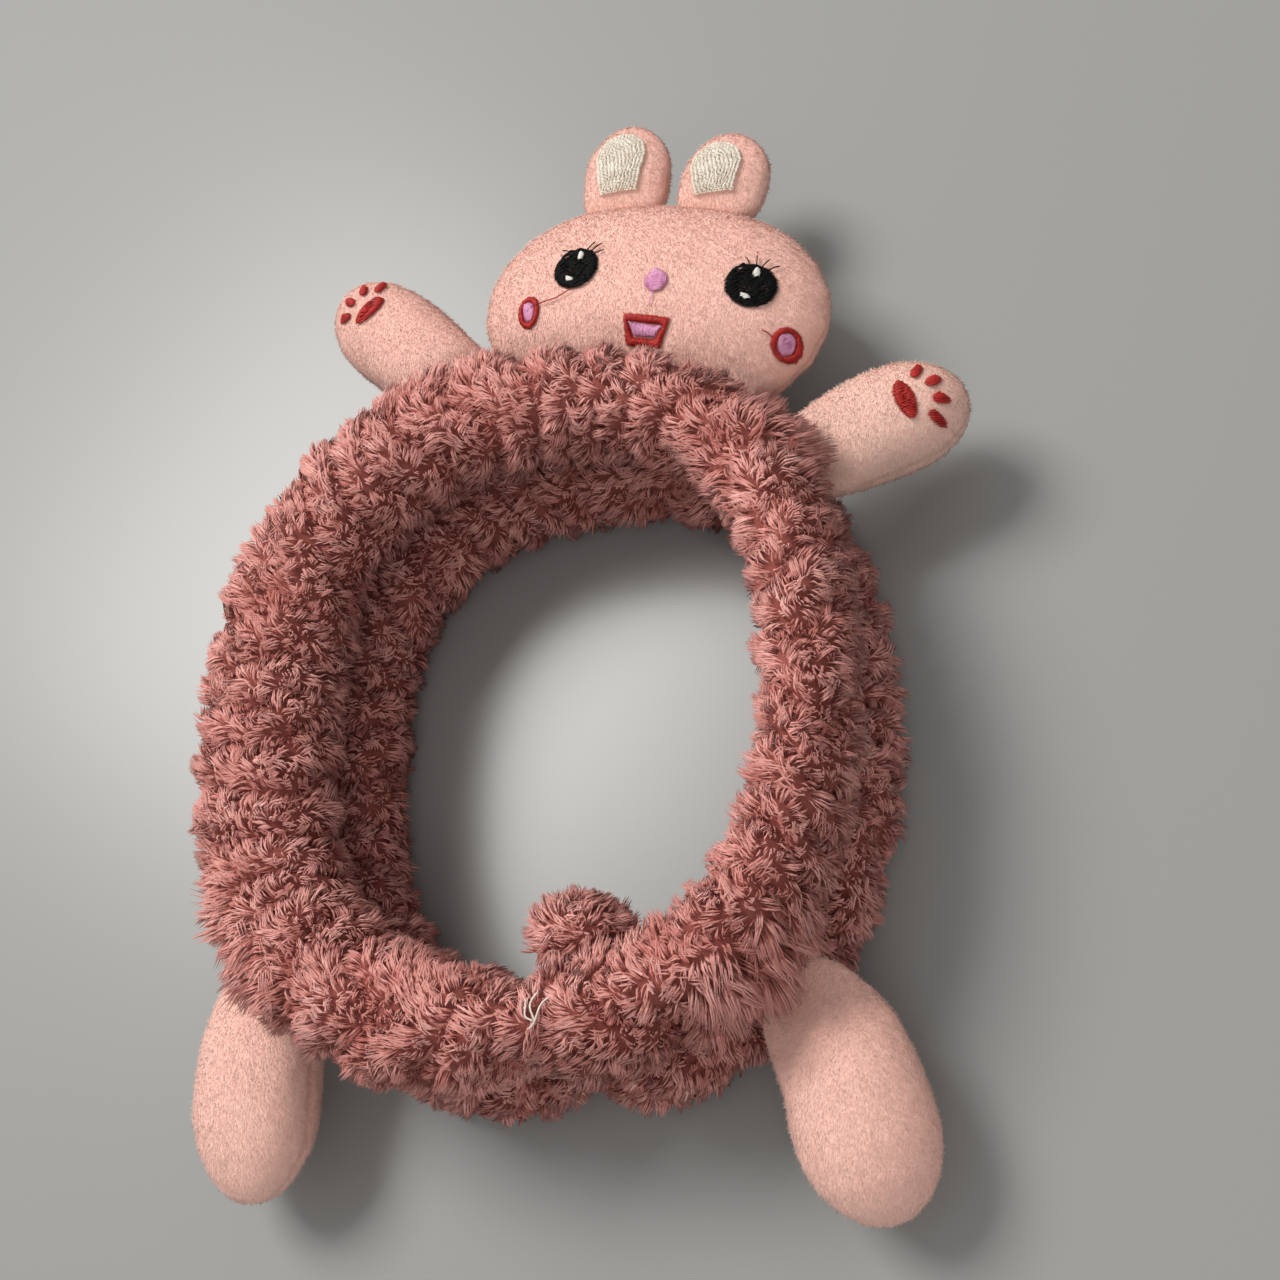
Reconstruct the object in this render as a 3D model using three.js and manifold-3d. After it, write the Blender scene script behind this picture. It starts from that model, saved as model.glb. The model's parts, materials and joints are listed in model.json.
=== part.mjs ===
// A plush bunny spa headband: a gathered fleece loop on an elastic, which is the bunny's body, with a
// stuffed head, two ears, two arms and two legs sewn into the groove round its outer wall.
// Millimetres, +Z up. The loop lies on its lower rim, its axis along +Z, the head towards +Y and the
// face upwards. Left and right are as seen facing the bunny.
import * as THREE from "three";
import { mergeVertices } from "three/addons/utils/BufferGeometryUtils.js";
import Module from "manifold-3d";

const wasm = await Module();
wasm.setup();

// ---- driving dimensions -------------------------------------------------------------------------

const SEWN_GAP = 0.3; // between pieces that are sewn together or lie on each other
const SEAM_GAP = 0.3; // between the two panels of a stuffed piece, at their seam

// The loop. Its plan is a rounded square-ish oval, the line half way through the band.
const LOOP_HALF_WIDTH = 70;
const LOOP_HALF_LENGTH = 78;
const LOOP_SQUARENESS = 2.4; // 2 is an ellipse, and more is squarer
const LOOP_SKEW_DEG = 16; // how far the oval's long axis lies off the head's direction

// The band's section: two rolls, one on the other, with the elastic sewn in between them.
const ROLL_HALF_DEPTH = 14; // across the band's wall
const ROLL_DEPTH_SWING = 3.5; // the band is this much fuller on its left and slimmer on its right
const ROLL_HALF_HEIGHT = 13.5;
const ROLL_PARTING = 2.5; // from the groove up to the underside of the upper roll
const FLEECE = 2.2; // cloth of the band
const REST_FLAT = 1.2; // how much the lower roll's underside is flattened
const LEAN = 1.6; // the upper roll lies this far to one side of the groove, and the lower to the other
const LEAN_DEG = -29; // the way the lower roll is moved
const COVER_SLIT = 1; // the cover's long seam, in the inner groove
const ELASTIC_WIDTH = 7;
const ELASTIC_THICKNESS = 1.2;
const STITCH_SIDE = 0.8; // sewing thread along the groove

// Where the band's two ends are gathered and joined.
const JOIN_DEG = 288;
const JOIN_PINCH = 0.4; // share of the wall's depth that the joint draws in
const JOIN_SPREAD_DEG = 7;
const TUCK_DEG = 299;
const TUCK_WIDTH = 25;
const TUCK_DEPTH = 15;
const TUCK_HEIGHT = 20;
const TAIL_DEG = 295;
const TAIL_LENGTH = 10; // the white end of the joining thread
const TAIL_THICKNESS = 1.2;

// Short-pile plush of the head, ears, arms and legs.
const PLUSH = 1.5;

const HEAD_WIDTH = 101;
const HEAD_HEIGHT = 66;
const HEAD_SQUARENESS = 2.2;
const HEAD_FRONT_DEPTH = 16;
const HEAD_BACK_DEPTH = 14;
// Where round the loop the head is sewn, the way its crown points, and the extra room at its seam
// because it isn't square to the loop.
const HEAD_SEWN = { deg: 94.5, aim: -1, room: 0.4 };
const CHIN_SHARE = 2.4; // of the rolls' overhang, over which the chin thins down to its seam

const EAR_WIDTH = 26;
const EAR_HALF_DEPTH = 6;
const EAR_SPACING = 28; // between the two ears' middles
const EAR_SHIFT = -4; // the pair of ears sits this far to the left of the head's middle
const EARS = {
  ear_left: { side: -1, lean: 14, length: 27 },
  ear_right: { side: 1, lean: 12, length: 24 },
};
const EAR_ROOT_WIDTH = 25;
const EAR_ROOT_ROUND = 2.5; // how soon an ear reaches its root width
const EAR_SQUEEZE = 9;

const ARM_WIDTH = 29;
const ARM_ROOT_WIDTH = 26;
const ARM_HALF_DEPTH = 12;
const ARM_SQUEEZE = 28; // length over which an arm fills out from its flat sewn end

const LEG_WIDTH = 33;
const LEG_ROOT_WIDTH = 29;
const LEG_HALF_DEPTH = 12.5;
const LEG_SQUEEZE = 32;

// Each limb: where it is sewn in, the way its tip points in degrees from +Y, its length, how far it
// droops from its seam (below zero where it is raised), and how many times as wide as usual it is
// stuffed. An arm is sewn in on one side of the head's seam, with its near edge at a share of the
// head's half width.
const LIMBS = {
  arm_left: { side: 1, share: 0.47, aim: 55, length: 70, droop: -3, fill: 1 },
  arm_right: { side: -1, share: 0.65, aim: -56, length: 51, droop: 3, fill: 1 },
  leg_left: { deg: 235.5, aim: 179, length: 65, droop: 12, fill: 1.12 },
  leg_right: { deg: 326, aim: 218, length: 61, droop: 13, fill: 1 },
};
const LIMB_BEND = 0.36; // share of a limb that leaves the loop square before it turns aside
const FLAT_SHARE = 0.6; // of the rolls' overhang, over which a limb stays flat between them
const SEAM_SHARE = 0.14; // of a stuffed piece's full depth, left at its flat sewn end

// Embroidery, in satin stitch that stands on the cloth. Face sizes are across by along the face.
const STITCHING = 0.8;
const EYE = { across: 13.6, along: 13, spacing: 49, height: 35 };
const HIGHLIGHTS = { upper: { across: 3, along: 3.4 }, lower: { across: 3.8, along: 2.2 } };
const HIGHLIGHT_REACH = 3.6; // from the middle of the eye
const NOSE = { across: 6.8, along: 6.8, height: 32.5 };
const PHILTRUM = { across: 0.9, along: 2.2, height: 26.9 };
const MOUTH = { top: 13.4, bottom: 10, along: 7.4, border: 1.8, height: 19.2 };
const CHEEK = { across: 7.2, along: 9, border: 1.6, spacing: 71.5, height: 22.5 };
const FACE_SHIFT = 7.2; // the face sits this far to the right of the head's middle
// The patch keeps a border at the ear's tip and one at its root, where it is narrower.
const EAR_PATCH = { across: 14.5, acrossRoot: 10.5, border: 3.8, borderRoot: 4 };
const PAW = { across: 10.5, along: 5 };
// How far a paw's pad is from the tip of its arm, and how far aside of the arm's middle line.
const PAWS = { arm_left: { reach: 18, aside: 4 }, arm_right: { reach: 16, aside: 0 } };
const TOE = { across: 2.9, along: 4.6, spread_deg: 34, reach: 8.2 };

const SEGMENTS = { loop: 48, head: 32, limb: 16, dot: 12 };

// ---- materials ----------------------------------------------------------------------------------

const finish = (color, roughness) => new THREE.MeshStandardMaterial({ color, roughness, metalness: 0 });
const FINISH = {
  fleece: finish("#b0665f", 1),
  elastic: finish("#e6e1da", 0.85),
  thread: finish("#efe9df", 0.7),
  plush: finish("#e8b2a5", 0.95),
  wadding: finish("#f4f1ec", 1),
  black: finish("#141414", 0.45),
  white: finish("#efece6", 0.5),
  lilac: finish("#dd9cc6", 0.5),
  red: finish("#a51e14", 0.5),
  cream: finish("#e4dac6", 0.5),
};

// ---- closed surfaces ----------------------------------------------------------------------------

const DEG = Math.PI / 180;
const smooth = (t) => {
  const s = Math.min(Math.max(t, 0), 1);
  return s * s * (3 - 2 * s);
};

// Six times the volume that a closed set of triangles encloses, negative when they face inwards.
function signedVolume(positions, faces) {
  const corner = (index) => new THREE.Vector3().fromArray(positions, 3 * index);
  let sum = 0;
  for (let i = 0; i < faces.length; i += 3) {
    const [a, b, c] = [corner(faces[i]), corner(faces[i + 1]), corner(faces[i + 2])];
    sum += a.dot(b.cross(c));
  }
  return sum;
}

// A closed solid from rows of points. Each row is a closed loop. The rows either close on
// themselves, as round a ring, or end in a pole: a single point at each end.
function solidFromRows(rows, poles) {
  const positions = rows.flat().flatMap((p) => [p.x, p.y, p.z]);
  const columns = rows[0].length;
  const faces = [];
  const at = (row, column) => (row % rows.length) * columns + (column % columns);
  const bands = poles ? rows.length - 1 : rows.length;
  for (let row = 0; row < bands; row++) {
    for (let column = 0; column < columns; column++) {
      const [a, b] = [at(row, column), at(row, column + 1)];
      const [c, d] = [at(row + 1, column + 1), at(row + 1, column)];
      faces.push(a, b, c, a, c, d);
    }
  }
  if (poles) {
    const first = rows.length * columns;
    positions.push(...poles[0], ...poles[1]);
    for (let column = 0; column < columns; column++) {
      faces.push(first, at(0, column + 1), at(0, column));
      faces.push(first + 1, at(rows.length - 1, column), at(rows.length - 1, column + 1));
    }
  }
  if (signedVolume(positions, faces) < 0) faces.reverse();
  const geometry = new THREE.BufferGeometry();
  geometry.setAttribute("position", new THREE.Float32BufferAttribute(positions, 3));
  geometry.setIndex(faces);
  return geometry;
}

function toManifold(geometry) {
  const bare = geometry.clone();
  bare.deleteAttribute("normal");
  bare.deleteAttribute("uv");
  const merged = mergeVertices(bare, 1e-4);
  return new wasm.Manifold(
    new wasm.Mesh({
      numProp: 3,
      vertProperties: merged.attributes.position.array,
      triVerts: new Uint32Array(merged.index.array),
    }),
  );
}

function fromManifold(solid) {
  const mesh = solid.getMesh();
  const geometry = new THREE.BufferGeometry();
  const vertices = new Float32Array(mesh.vertProperties);
  geometry.setAttribute("position", new THREE.BufferAttribute(vertices, 3));
  geometry.setIndex(new THREE.BufferAttribute(new Uint32Array(mesh.triVerts), 1));
  return geometry;
}

function named(name, geometry, material) {
  const mesh = new THREE.Mesh(geometry, material);
  mesh.name = name;
  return mesh;
}

// ---- the loop -----------------------------------------------------------------------------------

// Distance from the middle of a rounded oval to its edge, at an angle from its first axis.
function ovalRadius(angle, halfWidth, halfLength, squareness) {
  const across = Math.abs(Math.cos(angle) / halfWidth) ** squareness;
  const along = Math.abs(Math.sin(angle) / halfLength) ** squareness;
  return (across + along) ** (-1 / squareness);
}

// Distance of the loop's middle line from its centre, at an angle from +X.
function loopRadius(angle) {
  return ovalRadius(angle - LOOP_SKEW_DEG * DEG, LOOP_HALF_WIDTH, LOOP_HALF_LENGTH, LOOP_SQUARENESS);
}

function rollDepth(angle) {
  const swing = ROLL_DEPTH_SWING * Math.cos(angle - LOOP_SKEW_DEG * DEG);
  const off = THREE.MathUtils.euclideanModulo(angle / DEG - JOIN_DEG + 180, 360) - 180;
  const pinch = 1 - JOIN_PINCH * Math.exp(-((off / JOIN_SPREAD_DEG) ** 2));
  return (ROLL_HALF_DEPTH - swing) * pinch;
}

const ROLL_RISE = ROLL_HALF_HEIGHT + ROLL_PARTING; // from the groove to the middle of a roll
const GROOVE_HEIGHT = ROLL_RISE + ROLL_HALF_HEIGHT - REST_FLAT;
const ELASTIC_HALF = ELASTIC_THICKNESS / 2;
const POCKET_HALF = ELASTIC_HALF + SEWN_GAP;
const GROOVE_HALF = POCKET_HALF + FLEECE;

// How far the rolls stand out beyond the groove's outer wall.
const rollOverhang = (deg) => rollDepth(deg * DEG) - GROOVE_HALF;

// A point of the band, at an angle from +X, so far out from the loop's middle line and so high.
function onLoop(angle, out, height) {
  const reach = loopRadius(angle) + out;
  const lean = (LEAN * (GROOVE_HEIGHT - height)) / ROLL_RISE;
  return new THREE.Vector3(
    reach * Math.cos(angle) + lean * Math.cos(LEAN_DEG * DEG),
    reach * Math.sin(angle) + lean * Math.sin(LEAN_DEG * DEG),
    height,
  );
}

// A ring round the loop. section gives its outline at an angle, as [out, height] pairs.
function ring(section) {
  const rows = [];
  for (let step = 0; step < SEGMENTS.loop; step++) {
    const angle = (step / SEGMENTS.loop) * 2 * Math.PI;
    rows.push(section(angle).map(([out, height]) => onLoop(angle, out, height)));
  }
  return solidFromRows(rows);
}

// Half of the cover's outline, on the side of one roll: an arc from one side of the groove to the
// other. side is 1 for the upper roll and -1 for the lower, and neck is half the groove's depth. An
// odd number of steps leaves the lower roll a flat strip to stand on.
function rollArc(side, depth, height, neck, steps) {
  const start = Math.asin(neck / depth);
  const points = [];
  for (let step = 0; step <= steps; step++) {
    const turn = start + (step / steps) * (2 * Math.PI - 2 * start);
    const out = -depth * Math.sin(turn);
    const rise = ROLL_RISE - height * Math.cos(turn);
    points.push([out, Math.max(GROOVE_HEIGHT + side * rise, 0)]);
  }
  return points;
}

// The cover is one tube of fleece, drawn in to the elastic at mid height and open at its long seam.
function coverSection(angle) {
  const depth = rollDepth(angle);
  const outer = (side) => rollArc(side, depth, ROLL_HALF_HEIGHT, GROOVE_HALF, 11);
  const inner = (side) =>
    rollArc(side, depth - FLEECE, ROLL_HALF_HEIGHT - FLEECE, POCKET_HALF, 6).map(([out, height]) => [
      out,
      Math.max(height, FLEECE / 2),
    ]);
  const [top, bottom] = [GROOVE_HEIGHT + COVER_SLIT / 2, GROOVE_HEIGHT - COVER_SLIT / 2];
  return [
    [-GROOVE_HALF, top],
    ...outer(1),
    ...outer(-1).reverse(),
    [-GROOVE_HALF, bottom],
    [-POCKET_HALF, bottom],
    ...inner(-1),
    ...inner(1).reverse(),
    [-POCKET_HALF, top],
  ];
}

function boxSection(out, height, halfDepth, halfHeight) {
  return () => [
    [out - halfDepth, height - halfHeight],
    [out - halfDepth, height + halfHeight],
    [out + halfDepth, height + halfHeight],
    [out + halfDepth, height - halfHeight],
  ];
}

// The row of sewing thread that lies in the groove, on the outer or the inner wall.
function stitchRow(side) {
  const out = side * (GROOVE_HALF + SEWN_GAP + STITCH_SIDE / 2);
  const height = side > 0 ? GROOVE_HEIGHT : GROOVE_HEIGHT + COVER_SLIT;
  return ring(boxSection(out, height, STITCH_SIDE / 2, STITCH_SIDE / 2));
}

// The ball of gathered fleece where the ends are joined, on the inner wall.
function endTuck() {
  const angle = TUCK_DEG * DEG;
  const ball = new THREE.SphereGeometry(0.5, 12, 8);
  const reach = -(rollDepth(angle) + TUCK_DEPTH / 2); // it hangs below the roll's fullest height
  ball.scale(TUCK_DEPTH, TUCK_WIDTH, TUCK_HEIGHT);
  const tuck = named("end_tuck", ball, FINISH.fleece);
  tuck.position.copy(onLoop(angle, reach, GROOVE_HEIGHT + ROLL_RISE * 0.6));
  tuck.rotation.z = angle;
  return tuck;
}

function threadTail() {
  const angle = TAIL_DEG * DEG;
  const height = GROOVE_HEIGHT + ROLL_RISE + ROLL_HALF_HEIGHT + SEWN_GAP + TAIL_THICKNESS / 2;
  const stick = new THREE.CylinderGeometry(TAIL_THICKNESS / 2, TAIL_THICKNESS / 2, TAIL_LENGTH, 8);
  const tail = named("thread_tail", stick, FINISH.thread);
  tail.position.copy(onLoop(angle, 0, height));
  tail.rotation.z = angle + Math.PI / 3; // as it happens to lie
  return tail;
}

function band() {
  const group = new THREE.Group();
  const elastic = boxSection(0, GROOVE_HEIGHT, ELASTIC_HALF, ELASTIC_WIDTH / 2);
  group.add(
    named("band_cover", ring(coverSection), FINISH.fleece),
    named("band_elastic", ring(elastic), FINISH.elastic),
    named("groove_stitching_outer", stitchRow(1), FINISH.thread),
    named("groove_stitching_inner", stitchRow(-1), FINISH.thread),
    endTuck(),
    threadTail(),
  );
  return group;
}

// ---- stuffed pieces -----------------------------------------------------------------------------

// A stuffed form lies with its seam in its own XY plane. grow is how far the surface stands out from
// the real one, below zero for the inside of the cloth.
const LARGE = 400;

function slab(from, to) {
  const box = new THREE.BoxGeometry(LARGE, LARGE, to - from);
  box.translate(0, 0, (from + to) / 2);
  return toManifold(box);
}

// Front panel, back panel and wadding of a stuffed form.
function stuffed(name, form) {
  const cloth = toManifold(form(0)).subtract(toManifold(form(-PLUSH)));
  const front = cloth.intersect(slab(SEAM_GAP / 2, LARGE));
  const back = cloth.intersect(slab(-LARGE, -SEAM_GAP / 2));
  return [
    named(name + "_front_panel", fromManifold(front), FINISH.plush),
    named(name + "_back_panel", fromManifold(back), FINISH.plush),
    named(name + "_wadding", form(-PLUSH - SEWN_GAP), FINISH.wadding),
  ];
}

// Embroidery: the part of a layer over a form's front that lies inside an outline.
function embroidery(name, form, outline, material, lift = SEWN_GAP) {
  const layer = toManifold(form(lift + STITCHING)).subtract(toManifold(form(lift)));
  const column = new THREE.ExtrudeGeometry(outline, { depth: LARGE / 2, bevelEnabled: false });
  return named(name, fromManifold(layer.intersect(toManifold(column))), material);
}

function ovalPath(x, y, across, along, turn = 0) {
  const points = [];
  for (let step = 0; step < SEGMENTS.dot; step++) {
    const angle = (step / SEGMENTS.dot) * 2 * Math.PI;
    const point = new THREE.Vector2((across / 2) * Math.cos(angle), (along / 2) * Math.sin(angle));
    points.push(point.rotateAround(new THREE.Vector2(), turn).add(new THREE.Vector2(x, y)));
  }
  return points;
}

const oval = (...sizes) => new THREE.Shape(ovalPath(...sizes));

function withHole(outer, inner) {
  const shape = new THREE.Shape(outer);
  shape.holes.push(new THREE.Path(inner));
  return shape;
}

// A limb's surface: ellipses along a spine, from a pole at its seam to a pole at its tip. It stays
// flat for limb.flat beyond the seam and then fills out over size.squeeze.
function limbForm(limb, size) {
  const root = new THREE.Vector2(0, 0);
  const bend = new THREE.Vector2(0, limb.length * LIMB_BEND);
  const aim = (90 + limb.turn) * DEG;
  const tip = new THREE.Vector2(limb.length * Math.cos(aim), limb.length * Math.sin(aim));
  const spine = new THREE.QuadraticBezierCurve(root, bend, tip);
  const stations = 13;
  return (grow) => {
    const margin = -grow / limb.length;
    const place = (share) => margin + share * (1 - 2 * margin);
    const rows = [];
    for (let station = 1; station < stations; station++) {
      const share = (1 - Math.cos((station / stations) * Math.PI)) / 2;
      const s = share * limb.length;
      const full = THREE.MathUtils.lerp(size.rootWidth, size.width, smooth(s / (limb.length / 2))) / 2;
      const rootRound = Math.sqrt(1 - Math.max(1 - s / size.rootRound, 0) ** 2);
      const tipRound = Math.sqrt(1 - Math.max(1 - (limb.length - s) / (size.width / 2), 0) ** 2);
      const wide = full * rootRound * tipRound * (1 + grow / (size.width / 2));
      const squeeze = SEAM_SHARE + (1 - SEAM_SHARE) * smooth((s - limb.flat) / size.squeeze);
      const deep = size.halfDepth * squeeze * tipRound * (1 + grow / size.halfDepth);
      const centre = spine.getPoint(place(share));
      const along = spine.getTangent(place(share));
      const row = [];
      for (let step = 0; step < SEGMENTS.limb; step++) {
        const angle = (step / SEGMENTS.limb) * 2 * Math.PI;
        const side = wide * Math.cos(angle);
        const point = [centre.x + along.y * side, centre.y - along.x * side, deep * Math.sin(angle)];
        row.push(new THREE.Vector3(...point));
      }
      rows.push(row);
    }
    const [first, last] = [spine.getPoint(place(0)), spine.getPoint(place(1))];
    return solidFromRows(rows, [
      [first.x, first.y, 0],
      [last.x, last.y, 0],
    ]);
  };
}

const headRadius = (angle, grow) =>
  ovalRadius(angle, HEAD_WIDTH / 2 + grow, HEAD_HEIGHT / 2 + grow, HEAD_SQUARENESS);

// The head's surface: rings that rise from its seam to the middle of its face and of its back.
function headForm(grow) {
  const middle = HEAD_HEIGHT / 2;
  const rings = [0.3, 0.55, 0.75, 0.9, 0.98];
  const row = (share, depth) => {
    const points = [];
    for (let step = 0; step < SEGMENTS.head; step++) {
      const angle = (step / SEGMENTS.head) * 2 * Math.PI;
      const reach = headRadius(angle, grow) * share;
      const y = middle + reach * Math.sin(angle);
      points.push(new THREE.Vector3(reach * Math.cos(angle), y, headRise(share, depth, grow, y)));
    }
    return points;
  };
  const rows = [
    ...rings.map((share) => row(share, -HEAD_BACK_DEPTH)),
    row(1, 0),
    ...rings.toReversed().map((share) => row(share, HEAD_FRONT_DEPTH)),
  ];
  const pole = (depth) => [0, middle, headRise(0, depth, grow, middle)];
  return solidFromRows(rows, [pole(-HEAD_BACK_DEPTH), pole(HEAD_FRONT_DEPTH)]);
}

function headRise(share, depth, grow, y) {
  if (depth === 0) return 0;
  const dome = (1 - share ** 2.5) ** 0.6;
  const chin = CHIN_SHARE * rollOverhang(HEAD_SEWN.deg);
  const squeeze = SEAM_SHARE + (1 - SEAM_SHARE) * smooth(y / chin);
  return (depth + Math.sign(depth) * grow) * dome * squeeze;
}

// ---- sewn-on pieces, each a group whose origin is the middle of its seam --------------------------

// The direction square to the loop's outer wall, at an angle round it.
function awayFromLoop(deg) {
  const step = 0.1;
  const along = onLoop((deg + step) * DEG, 0, 0).sub(onLoop((deg - step) * DEG, 0, 0));
  return new THREE.Vector3(along.y, -along.x, 0).normalize();
}

// The way that points square to the loop, in degrees from +Y.
function squareAim(deg) {
  const away = awayFromLoop(deg);
  return Math.atan2(-away.x, away.y) / DEG;
}

// Places a piece in the groove of the loop's outer wall, its own +Y pointing the way of aim.
function sewnToBand(group, deg, aim, { room = 0, droop = 0 }) {
  group.position.copy(onLoop(deg * DEG, 0, GROOVE_HEIGHT));
  const reach = GROOVE_HALF + STITCH_SIDE + 2 * SEWN_GAP + room;
  group.position.addScaledVector(awayFromLoop(deg), reach);
  group.rotation.set(-droop * DEG, 0, aim * DEG, "ZYX");
  return group;
}

function face() {
  const group = new THREE.Group();
  const stitched = (name, outline, material, lift) =>
    group.add(embroidery(name, headForm, outline, material, lift));
  const raised = 2 * SEWN_GAP + STITCHING;
  for (const [name, side] of [["left", -1], ["right", 1]]) {
    const x = FACE_SHIFT + (side * EYE.spacing) / 2;
    stitched("eye_" + name, oval(x, EYE.height, EYE.across, EYE.along), FINISH.black);
    for (const [place, size] of Object.entries(HIGHLIGHTS)) {
      const rise = place === "upper" ? HIGHLIGHT_REACH : -HIGHLIGHT_REACH;
      const outline = oval(x + rise * 0.15, EYE.height + rise, size.across, size.along);
      stitched("eye_" + name + "_highlight_" + place, outline, FINISH.white, raised);
    }
    const cheekX = FACE_SHIFT + (side * CHEEK.spacing) / 2;
    const rim = ovalPath(cheekX, CHEEK.height, CHEEK.across, CHEEK.along, side * -0.3);
    const gap = 2 * (CHEEK.border + SEWN_GAP);
    const inside = ovalPath(
      cheekX,
      CHEEK.height,
      CHEEK.across - 2 * CHEEK.border,
      CHEEK.along - 2 * CHEEK.border,
      side * -0.3,
    );
    const blush = oval(cheekX, CHEEK.height, CHEEK.across - gap, CHEEK.along - gap, side * -0.3);
    stitched("cheek_" + name + "_rim", withHole(rim, inside), FINISH.red);
    stitched("cheek_" + name + "_blush", blush, FINISH.lilac);
  }
  stitched("nose", oval(FACE_SHIFT, NOSE.height, NOSE.across, NOSE.along), FINISH.lilac);
  const groove = oval(FACE_SHIFT, PHILTRUM.height, PHILTRUM.across, PHILTRUM.along);
  stitched("philtrum", groove, FINISH.lilac);
  const mouth = (inset) => [
    new THREE.Vector2(FACE_SHIFT - MOUTH.bottom / 2 + inset, MOUTH.height - MOUTH.along / 2 + inset),
    new THREE.Vector2(FACE_SHIFT + MOUTH.bottom / 2 - inset, MOUTH.height - MOUTH.along / 2 + inset),
    new THREE.Vector2(FACE_SHIFT + MOUTH.top / 2 - inset, MOUTH.height + MOUTH.along / 2 - inset),
    new THREE.Vector2(FACE_SHIFT - MOUTH.top / 2 + inset, MOUTH.height + MOUTH.along / 2 - inset),
  ];
  stitched("mouth_outline", withHole(mouth(0), mouth(MOUTH.border)), FINISH.red);
  stitched("tongue", new THREE.Shape(mouth(MOUTH.border + SEWN_GAP)), FINISH.lilac);
  return group;
}

// Height of the head's outline above its seam, at x across it.
function crownHeight(x) {
  const fall = Math.abs((2 * x) / HEAD_WIDTH) ** HEAD_SQUARENESS;
  return (HEAD_HEIGHT / 2) * (1 + (1 - fall) ** (1 / HEAD_SQUARENESS));
}

function ear(name) {
  const { side, lean, length } = EARS[name];
  const size = {
    width: EAR_WIDTH,
    rootWidth: EAR_ROOT_WIDTH,
    rootRound: EAR_ROOT_ROUND,
    halfDepth: EAR_HALF_DEPTH,
    squeeze: EAR_SQUEEZE,
  };
  const x = EAR_SHIFT + (side * EAR_SPACING) / 2;
  const slope = Math.atan(crownHeight(x + 0.5) - crownHeight(x - 0.5));
  const turn = lean - slope / DEG;
  const form = limbForm({ length, turn, flat: 0 }, size);
  const aim = Math.PI / 2 + turn * DEG;
  const reach = length - EAR_PATCH.border - EAR_PATCH.across / 2;
  const rim = ovalPath(0, 0, EAR_PATCH.across, EAR_PATCH.across).slice(0, SEGMENTS.dot / 2 + 1);
  const foot = EAR_PATCH.borderRoot - reach;
  for (const side of [-1, 1]) rim.push(new THREE.Vector2((side * EAR_PATCH.acrossRoot) / 2, foot));
  const middle = new THREE.Vector2(reach * Math.cos(aim), reach * Math.sin(aim));
  const origin = new THREE.Vector2();
  const patch = new THREE.Shape(rim.map((p) => p.rotateAround(origin, turn * DEG).add(middle)));
  const group = new THREE.Group();
  group.add(...stuffed(name, form), embroidery(name + "_patch", form, patch, FINISH.cream));
  group.position.set(x, crownHeight(x) + SEWN_GAP, 0);
  group.rotation.z = slope;
  return group;
}

function head() {
  const group = new THREE.Group();
  group.add(...stuffed("head", headForm), face(), ear("ear_left"), ear("ear_right"));
  return sewnToBand(group, HEAD_SEWN.deg, HEAD_SEWN.aim, HEAD_SEWN);
}

// The embroidered paw: a pad and four toes fanned out beyond it, near the tip of an arm.
function paw(arm, form, turn) {
  const name = arm.replace("arm", "paw");
  const pad = new THREE.Vector2(LIMBS[arm].length - PAWS[arm].reach, -PAWS[arm].aside);
  pad.rotateAround(new THREE.Vector2(), Math.PI / 2 + turn);
  const pieces = [
    embroidery(name + "_pad", form, oval(pad.x, pad.y, PAW.across, PAW.along, turn), FINISH.red),
  ];
  for (let toe = 0; toe < 4; toe++) {
    const fan = (1.5 - toe) * TOE.spread_deg * DEG;
    const spot = new THREE.Vector2(0, TOE.reach).rotateAround(new THREE.Vector2(), turn + fan).add(pad);
    const outline = oval(spot.x, spot.y, TOE.across, TOE.along, turn + fan);
    pieces.push(embroidery(name + "_toe_" + (toe + 1), form, outline, FINISH.red));
  }
  return pieces;
}

// The angle round the loop at which a limb is sewn in.
function limbDeg({ deg, side, share }) {
  if (deg !== undefined) return deg;
  const along = (share * HEAD_WIDTH) / 2 + ARM_WIDTH / 2;
  return HEAD_SEWN.deg + (side * along) / loopRadius(HEAD_SEWN.deg * DEG) / DEG;
}

function limb(name, size) {
  const deg = limbDeg(LIMBS[name]);
  const flat = FLAT_SHARE * rollOverhang(deg);
  const square = squareAim(deg);
  const turn = THREE.MathUtils.euclideanModulo(LIMBS[name].aim - square + 180, 360) - 180;
  const width = size.width * LIMBS[name].fill;
  const form = limbForm({ length: LIMBS[name].length, turn, flat }, { ...size, width });
  const group = new THREE.Group();
  group.add(...stuffed(name, form));
  if (name in PAWS) group.add(...paw(name, form, turn * DEG));
  return sewnToBand(group, deg, square, LIMBS[name]);
}

const ARM = {
  width: ARM_WIDTH,
  rootWidth: ARM_ROOT_WIDTH,
  rootRound: ARM_ROOT_WIDTH / 2,
  halfDepth: ARM_HALF_DEPTH,
  squeeze: ARM_SQUEEZE,
};
const LEG = {
  width: LEG_WIDTH,
  rootWidth: LEG_ROOT_WIDTH,
  rootRound: LEG_ROOT_WIDTH / 2,
  halfDepth: LEG_HALF_DEPTH,
  squeeze: LEG_SQUEEZE,
};

// ---- the headband -------------------------------------------------------------------------------

const headband = new THREE.Group();
headband.add(
  band(),
  head(),
  limb("arm_left", ARM),
  limb("arm_right", ARM),
  limb("leg_left", LEG),
  limb("leg_right", LEG),
);

// The origin is the middle of the underside of the whole piece's box.
const box = new THREE.Box3().setFromObject(headband, true);
const middle = box.getCenter(new THREE.Vector3());
headband.position.set(-middle.x, -middle.y, -box.min.z);

export default headband;
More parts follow.
